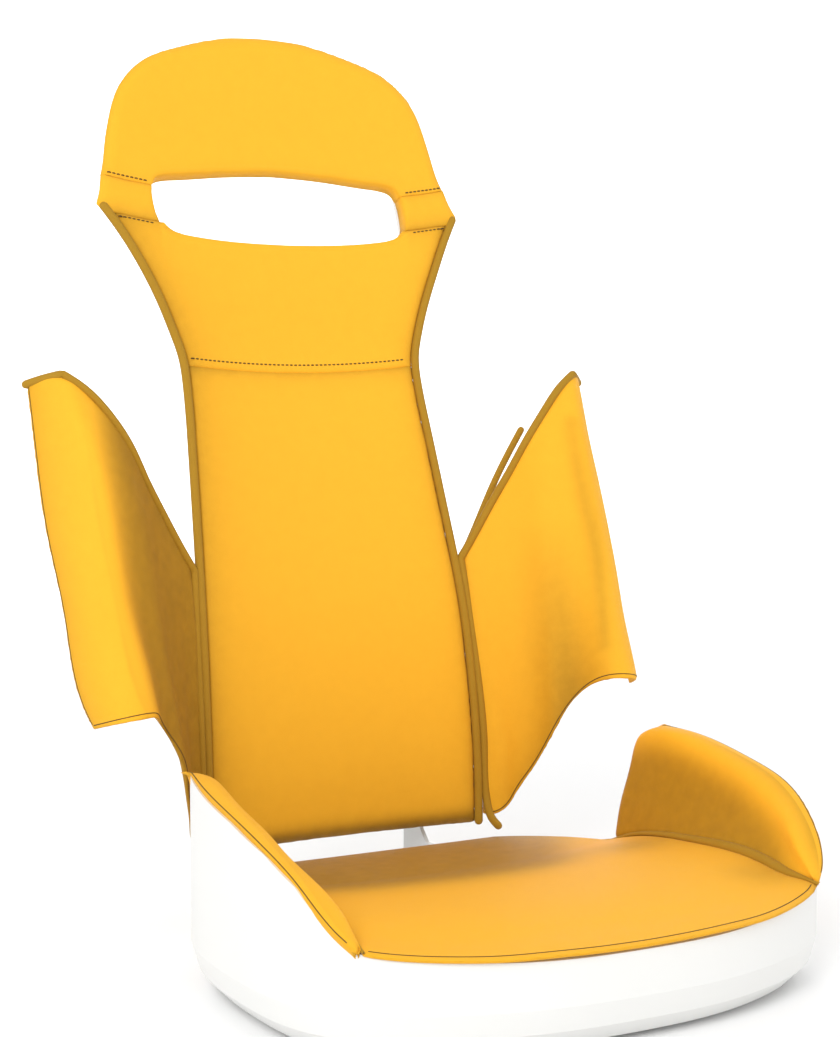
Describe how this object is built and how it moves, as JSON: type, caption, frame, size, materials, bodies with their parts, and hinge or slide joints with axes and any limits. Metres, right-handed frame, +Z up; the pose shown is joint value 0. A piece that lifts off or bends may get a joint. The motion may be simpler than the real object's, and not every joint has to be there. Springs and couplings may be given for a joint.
{
  "type": "bucket seat",
  "caption": "High-backed bucket seat in yellow leather with side wings, raised side bolsters, a slot through the head and a recline hinge.",
  "frame": {"origin": "centre of the four mounting inserts, on the flat underside of the seat pan", "axes": "+Z up, the sitter faces -Y, +X across the seat to the sitter's left"},
  "size_m": [0.6014, 0.6901, 0.855],
  "materials": {
    "leather_yellow": "fine-grained trim leather, satin",
    "leather_piping": "darker mustard piping, satin",
    "seat_foam": "open-cell upholstery foam",
    "moulded_shell": "moulded composite, pale gelcoat",
    "painted_bracket": "powder-coated steel plate, light grey",
    "zinc_fastener": "zinc-plated steel",
    "friction_washer": "friction composite"
  },
  "bodies": {
    "seat": {"seat_pan": "moulded_shell", "seat_foam": "seat_foam", "seat_cover": "leather_yellow", "right_bolster_foam": "seat_foam", "left_bolster_foam": "seat_foam", "right_bolster_cover": "leather_yellow", "left_bolster_cover": "leather_yellow", "right_crease_piping": "leather_piping", "left_crease_piping": "leather_piping", "mounting_inserts": "zinc_fastener", "right_base_bracket": "painted_bracket", "left_base_bracket": "painted_bracket", "base_bracket_bolts": "zinc_fastener", "seat_tee_nuts": "zinc_fastener", "hinge_pins": "zinc_fastener", "hinge_washers": "friction_washer", "hinge_nuts": "zinc_fastener"},
    "backrest": {"head_cover": "leather_yellow", "right_slot_cover": "leather_yellow", "left_slot_cover": "leather_yellow", "shoulder_cover": "leather_yellow", "lower_back_cover": "leather_yellow", "right_wing_cover": "leather_yellow", "left_wing_cover": "leather_yellow", "right_back_piping": "leather_piping", "left_back_piping": "leather_piping", "right_wing_piping": "leather_piping", "left_wing_piping": "leather_piping", "back_foam": "seat_foam", "right_wing_foam": "seat_foam", "left_wing_foam": "seat_foam", "back_shell": "moulded_shell", "right_wing_shell": "moulded_shell", "left_wing_shell": "moulded_shell", "right_back_bracket": "painted_bracket", "left_back_bracket": "painted_bracket", "back_bracket_bolts": "zinc_fastener", "back_tee_nuts": "zinc_fastener", "wing_bolts": "zinc_fastener"}
  },
  "joints": [
    {"name": "recline", "type": "hinge", "parent": "seat", "child": "backrest", "pos_m": [0, 0.267, 0.086], "axis": [1, 0, 0], "range_deg": [-25, 10]}
  ]
}
